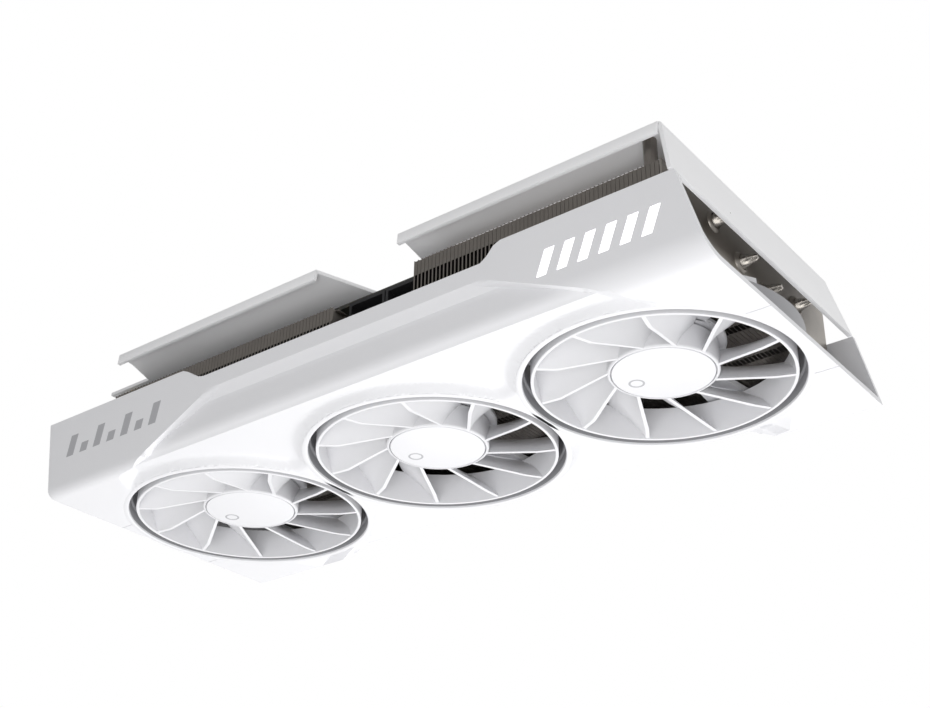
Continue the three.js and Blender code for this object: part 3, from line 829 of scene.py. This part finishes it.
def add_blade(bm, turn, centre):
    """One blade: a twisted sheet, thicker at its front edge, with a slight camber."""
    chord = 8
    stations = blade_stations()
    front, back = [], []
    for radius, near, near_z, far, far_z in stations:
        rows = ([], [])
        for j in range(chord + 1):
            c = j / chord
            thick = 1.5 - 0.7 * c
            angle = near + (far - near) * c - 2.2 * math.sin(math.pi * c)
            z = near_z + (far_z - near_z) * c
            for k, shift in enumerate((0.0, math.degrees(thick / radius))):
                a = math.radians(angle + shift + turn)
                rows[k].append(bm.verts.new((centre + radius * math.cos(a), radius * math.sin(a), z)))
        front.append(rows[0])
        back.append(rows[1])
    for s in range(len(stations) - 1):
        for j in range(chord):
            bm.faces.new((front[s][j], front[s][j + 1], front[s + 1][j + 1], front[s + 1][j]))
            bm.faces.new((back[s][j], back[s + 1][j], back[s + 1][j + 1], back[s][j + 1]))
        for j in (0, chord):
            bm.faces.new((front[s][j], front[s + 1][j], back[s + 1][j], back[s][j]))
    for s in (0, len(stations) - 1):
        for j in range(chord):
            bm.faces.new((front[s][j], front[s][j + 1], back[s][j + 1], back[s][j]))


def add_rotor(name, x):
    """Hub, outer ring and blades in one moulding."""
    bm = bmesh.new()
    hub = [
        (0, 5.4), (19.65, 5.4), (19.65, 4.1), (19.75, 4.0), *arc((HUB_R - 1.1, 5.0), 1.1, 272, 360, 7),
        (HUB_R, 14.3), (18.6, 14.3), (18.6, 7.4), (0, 7.4),
    ]
    add_turned(bm, hub, 120, (x, 0))
    low, high = RING["z0"], RING["z1"]
    ring = [
        *arc((RING["inner"] + 0.3, low + 0.3), 0.3, 180, 270, 3),
        *arc((RING["outer"] - 0.3, low + 0.3), 0.3, 270, 360, 3),
        (RING["outer"], high), (RING["inner"], high),
    ]
    add_turned(bm, ring, 144, (x, 0), closed=True)
    for i in range(BLADES):
        add_blade(bm, BLADE_PHASE + i * 360 / BLADES, x)
    finished("rotor_" + name, bm, FAN_WHITE, "fan_" + name, 32, ("fan_rotor_" + name,))


def add_hub_cap(name, x):
    """The flat disc on the hub, with a small printed ring."""
    bm = bmesh.new()
    cap = [(0, 3.9), *arc((18.9, 4.2), 0.3, 270, 360, 4), (19.2, 5.1), (0, 5.1)]
    add_turned(bm, cap, 120, (x, 0))
    finished("cap_" + name, bm, FAN_WHITE, "fan_" + name, 40, ("hub_cap_" + name,))
    mark = bmesh.new()
    ring = [(2.3, 3.86), (3.1, 3.86), (3.1, 4.2), (2.3, 4.2)]
    place = (x + MARK_AT[0], MARK_AT[1])
    add_turned(mark, ring, 40, place, closed=True)
    finished("cap_mark_" + name, mark, PRINT, "fan_" + name, 40)


def add_frame(name, x):
    """The fan's own frame: duct, motor seat and three struts. The duct is coloured dark grey as painted
    shade for the deep gap round the rotor ring.
    """
    low, high = node_box("fan_frame_" + name)
    bm = bmesh.new()
    duct = [
        (51.9, 1.0), (52.7, 1.0), (52.7, 15.2), (52.3, 15.6), (51.6, 15.6), (51.2, 15.2),
        (51.2, low.z), (51.9, low.z - 0.7),
    ]
    add_turned(bm, duct, 144, (x, 0), closed=True)
    # The duct's dark grey finish is painted shade for the gap round the rotor ring.
    finished("duct_" + name, bm, DUCT_PAINTED_SHADE, angle=40)
    bm = bmesh.new()
    seat = [
        (4.2, SEAT_Z), (23.4, SEAT_Z), (24.0, SEAT_Z + 0.6), (24.0, 17.0), (23.4, high.z),
        (4.2, high.z),
    ]
    add_turned(bm, seat, 72, (x, 0), closed=True)
    for degrees in STRUT_TURNS:
        arm = bmesh.new()
        add_prism(arm, [(22.5, -5), (51.9, -8.5), (51.9, 8.5), (22.5, 5)], SEAT_Z, high.z)
        soften(arm, 0.6)
        arm.transform(Matrix.Translation((x, 0, 0)) @ Matrix.Rotation(math.radians(degrees), 4, "Z"))
        merge(bm, arm)
    finished("frame_" + name, bm, FRAME_WHITE, angle=40, replaces=("fan_frame_" + name,))


def merge(bm, other):
    """Moves another bmesh's geometry into bm."""
    mesh = bpy.data.meshes.new("scratch")
    other.to_mesh(mesh)
    other.free()
    bm.from_mesh(mesh)
    bpy.data.meshes.remove(mesh)


# ---------------------------------------------------------------- cooler

FIN_PITCH = 1.74
FIN_SHEET = 0.32
FIN_FLANGE = 0.3
FIN_LIP = 6.5  # how far down a fin's folded upper lip reaches
TAB_PITCH, TAB_LONG = 23.5, 19.0
TAIL_TOP = 47.0
PLATE_THICK = 0.9
MAIN_END = -2.0
GAP_STACK = (-30.0, 24.0)  # near side and top of the low stack between the two tall ones


def add_fin(bm, x, y0, y1, z0, z1, tabs):
    """One fin: a thin web whose long edges fold over towards the next fin, with gaps between the folds."""
    add_block(bm, x, x + FIN_SHEET, y0, y1, z0, z1)
    fold = FIN_PITCH - FIN_SHEET - 0.12
    for start, end in tabs:
        for z in (z0, z1 - 0.3):
            add_block(bm, x + FIN_SHEET, x + FIN_SHEET + fold, start, end, z, z + 0.3)
    lip = max(z1 - FIN_LIP, z0 + 1.5)
    for y in (y0, y1 - 0.3):
        add_block(bm, x + FIN_SHEET, x + FIN_SHEET + FIN_FLANGE, y, y + 0.3, z0 + 1.0, lip)
        add_block(bm, x + FIN_SHEET, x + FIN_SHEET + fold, y, y + 0.3, lip, z1 - 0.4)


def add_stack(bm, low, high):
    """A stack of fins between two corners, with the wires that tie its folds together."""
    count = int((high.x - low.x - 1.0) / FIN_PITCH)
    pitch = (high.x - low.x - 1.0) / count
    y0, y1 = low.y + 0.2, high.y - 0.2
    starts = [y0 + 3 + i * TAB_PITCH for i in range(5)]
    tabs = [(start, min(start + TAB_LONG, y1 - 3)) for start in starts if start < y1 - 6]
    for i in range(count):
        add_fin(bm, low.x + i * pitch, y0, y1, low.z, high.z, tabs)
    for y in (y0 + 8, y1 - 8):
        add_block(bm, low.x, high.x - 1.0, y - 1, y + 1, high.z - 1.4, high.z - 1.1)


def add_stacks():
    """The main stack with its low step, and the tail stack with its end plate."""
    low, high = node_box("fin_stack_main")
    near, step_top = GAP_STACK
    main = bmesh.new()
    add_stack(main, low, Vector((MAIN_END, high.y, high.z)))
    add_stack(main, Vector((MAIN_END - 0.4, near, low.z)), Vector((high.x, high.y, step_top)))
    finished("fins_main", main, FIN, angle=30, replaces=("fin_stack_main",))

    low, high = node_box("fin_stack_tail")
    high.z = TAIL_TOP
    tail = bmesh.new()
    add_stack(tail, low, high)
    finished("fins_tail", tail, FIN, angle=30, replaces=("fin_stack_tail",))
    plate = bmesh.new()
    add_block(plate, high.x - PLATE_THICK, high.x, low.y, high.y, low.z, high.z)
    soften(plate, 0.25)
    finished("fins_tail_end_plate", plate, PLATE)


def sweep(bm, centres, radii, sides, crimp):
    """A round bar through points: a radius for each, and how deep its four crimps go."""
    rings = []
    up = Vector((0, 0, 1))
    for i, centre in enumerate(centres):
        ahead = centres[min(i + 1, len(centres) - 1)] - centres[max(i - 1, 0)]
        ahead.normalize()
        side = up.cross(ahead).normalized()
        high = ahead.cross(side)
        ring = []
        for k in range(sides):
            turn = 2 * math.pi * k / sides
            radius = radii[i] * (1 - crimp[i] * (0.5 - 0.5 * math.cos(4 * turn)))
            ring.append(bm.verts.new(centre + (side * math.cos(turn) + high * math.sin(turn)) * radius))
        rings.append(ring)
    for a, b in zip(rings, rings[1:]):
        for k in range(sides):
            n = (k + 1) % sides
            bm.faces.new((a[k], a[n], b[n], b[k]))
    bm.faces.new(rings[0][::-1])
    bm.faces.new(rings[-1])


PIPE_R = 2.9
# Beyond the end plate: share of the length, radius, and how deep the four crimps go
PIPE_CRIMP = (
    (-0.3, PIPE_R, 0.0), (0.1, PIPE_R, 0.0), (0.2, 2.8, 0.05), (0.4, 2.5, 0.24), (0.6, 2.1, 0.42),
    (0.8, 1.7, 0.52), (0.95, 1.35, 0.55), (1.0, 1.05, 0.5),
)
PIPE_END = 152.6
PIPES = (
    {"from_y": -24, "y": -28, "z": 39.8},
    {"from_y": -8, "y": -9.4, "z": 32.2},
    {"from_y": 8, "y": 8.6, "z": 28.6},
    {"from_y": 24, "y": 34.3, "z": 35.4},
)
PIPE_RUN_Z = 45.1


def add_pipe(index, ends):
    """A heat pipe: along the cold plate, down the gap and out of the tail stack to a pinched end."""
    curve_steps = 24
    start = node_box(f"heat_pipe_{index + 1}")[0].x
    first = Vector((-4, ends["from_y"], PIPE_RUN_Z))
    last = Vector((27, ends["y"], ends["z"]))
    pull = Vector((15, 0, 0))
    centres = [Vector((start + 0.3, first.y, first.z)), Vector((start + 3, first.y, first.z))]
    centres += geometry.interpolate_bezier(first, first + pull, last - pull, last, curve_steps)
    radii = [1.6, PIPE_R] + [PIPE_R] * curve_steps
    crimp = [0.0] * (curve_steps + 2)
    plate = node_box("fin_stack_tail")[1].x
    end = min(PIPE_END, TAIL_AT_FACE - TAIL_LEAN * last.z - 0.6)
    for share, radius, depth in PIPE_CRIMP:
        centres.append(Vector((plate + (end - plate) * share, last.y, last.z)))
        radii.append(radius)
        crimp.append(depth)
    bm = bmesh.new()
    sweep(bm, centres, radii, 32, crimp)
    finished(f"pipe_{index + 1}", bm, PIPE, angle=50, replaces=(f"heat_pipe_{index + 1}",))
    collar = bmesh.new()
    add_turned(collar, [(3.0, 0), (4.3, 0), (4.1, 0.5), (3.3, 1.1), (3.0, 1.1)], 32, closed=True)
    collar.transform(Matrix.Translation((plate, last.y, last.z)) @ Matrix.Rotation(math.pi / 2, 4, "Y"))
    finished(f"pipe_collar_{index + 1}", collar, PLATE)


# ---------------------------------------------------------------- backplate

SHEET_THICK = 1.5
WING_Y, NOTCH_Y, BACK_Y = -64.9, -34.0, 60.9
FLANGE_BOTTOM = 34.0


def fold(bm, edges, run):
    """Folds a sheet's edge strip: run is a list of moves, each a function of the vertex."""
    for move in run:
        out = bmesh.ops.extrude_edge_only(bm, edges=edges)["geom"]
        edges = [e for e in out if isinstance(e, bmesh.types.BMEdge)]
        for vert in {v for e in edges for v in e.verts}:
            vert.co += move(vert.co)


def bend_steps(radius, turn, count):
    """The forward and downward moves that roll a sheet's edge through an angle."""
    steps = []
    for i in range(1, count + 1):
        a0, a1 = turn * (i - 1) / count, turn * i / count
        steps.append((radius * (math.sin(a1) - math.sin(a0)), radius * (math.cos(a0) - math.cos(a1))))
    return steps


def wing_folds():
    """The wings' lips: a rolled edge, then a short leaning strip."""
    reach, turn = 1.3, math.radians(73)
    moves = []
    for forward, down in bend_steps(reach, turn, 5):
        moves.append(lambda co, step=Vector((0, -forward, -down)): step)
    rest = Vector((0, -66.5 - WING_Y + reach * math.sin(turn), -(5.2 - reach * (1 - math.cos(turn)))))
    moves.append(lambda co: rest)
    return moves


def flange_folds(top):
    """The tail flange: a rolled edge, then a sheet that widens as it leans down to its bottom edge."""
    turn = math.radians(90) - math.atan(TAIL_LEAN)
    radius = SHEET_THICK / math.tan(math.radians(90) - turn / 2)
    moves = []
    for forward, down in bend_steps(radius, turn, 6):
        moves.append(lambda co, step=Vector((forward, 0, -down)): step)

    def to_bottom(co):
        fall = co.z - FLANGE_BOTTOM
        share = fall / (top - FLANGE_BOTTOM)
        aside = -(72.0 + WING_Y) * share if co.y < 0 else (67.0 - BACK_Y) * share
        return Vector((TAIL_LEAN * fall, aside, -fall))

    return [*moves, to_bottom]


def add_backplate():
    """One sheet with a notch and a window, its wings' lips and its tail flange folded down."""
    top = node_box("backplate")[1].z - 0.01
    tail = TAIL_AT_FACE - TAIL_LEAN * top - SHEET_THICK
    outer = [
        (-158, -44), (-132.5, -44), (-127.5, -58), (-126.6, WING_Y), (-10.6, WING_Y), (-0.5, NOTCH_Y),
        (26.5, NOTCH_Y), (32, WING_Y), (tail, WING_Y), (tail, BACK_Y), (-158, BACK_Y),
    ]
    window = [(44.4, -48.3), (131, -48.3), (131, 45.8), (44.4, 45.8)]
    bm = bmesh.new()
    for loop in (outer, window):
        verts = [bm.verts.new((x, y, top)) for x, y in loop]
        for a, b in zip(verts, verts[1:] + verts[:1]):
            bm.edges.new((a, b))
    bmesh.ops.triangle_fill(bm, use_beauty=True, use_dissolve=False, edges=list(bm.edges))
    rims = [e for e in bm.edges if e.is_boundary]
    wings = [e for e in rims if all(abs(v.co.y - WING_Y) < 0.01 for v in e.verts)]
    tails = [e for e in rims if all(abs(v.co.x - tail) < 0.01 for v in e.verts)]
    fold(bm, wings, wing_folds())
    fold(bm, tails, flange_folds(top))
    bmesh.ops.remove_doubles(bm, verts=bm.verts, dist=0.001)
    bmesh.ops.recalc_face_normals(bm, faces=bm.faces)
    flat = max(bm.faces, key=lambda f: f.calc_area())
    if flat.normal.z < 0:
        bmesh.ops.reverse_faces(bm, faces=bm.faces)
    sheet = link_mesh("back_sheet", bm)
    solid = sheet.modifiers.new("sheet", "SOLIDIFY")
    solid.thickness = SHEET_THICK * MM
    solid.offset = -1
    solid.use_even_offset = True
    edge = sheet.modifiers.new("edges", "BEVEL")
    edge.width = 0.25 * MM
    edge.segments = 2
    edge.limit_method = "ANGLE"
    edge.angle_limit = math.radians(50)
    apply_modifiers(sheet)
    settle(sheet, SHEET, "card", 30, ("backplate",))


# ---------------------------------------------------------------- assembly

add_shroud()
add_light_bars()
add_side_marks()
for fan_name, fan_x in zip(FANS, FAN_X):
    add_rotor(fan_name, fan_x)
    add_hub_cap(fan_name, fan_x)
    add_frame(fan_name, fan_x)
add_stacks()
for pipe_index, pipe_ends in enumerate(PIPES):
    add_pipe(pipe_index, pipe_ends)
add_backplate()

CARRIED = {
    "fan_shaft": STEEL, "fan_bearing": BRASS, "fan_motor": CHIP, "cold_plate": PIPE, "memory_plate": ALLOY,
    "circuit_board": MASK, "gpu_package": CHIP, "memory_chip": CHIP, "choke_bank": CHOKE,
    "power_socket": BLACK, "display_port": TIN, "io_bracket": STEEL, "bracket_screw": STEEL,
    "spring_screw": STEEL, "board_standoff": BRASS, "tail_post": FIN,
}
for node_name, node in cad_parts.items():
    for start, finish in CARRIED.items():
        if node_name.startswith(start):
            node.data.materials.clear()
            node.data.materials.append(finish.material)
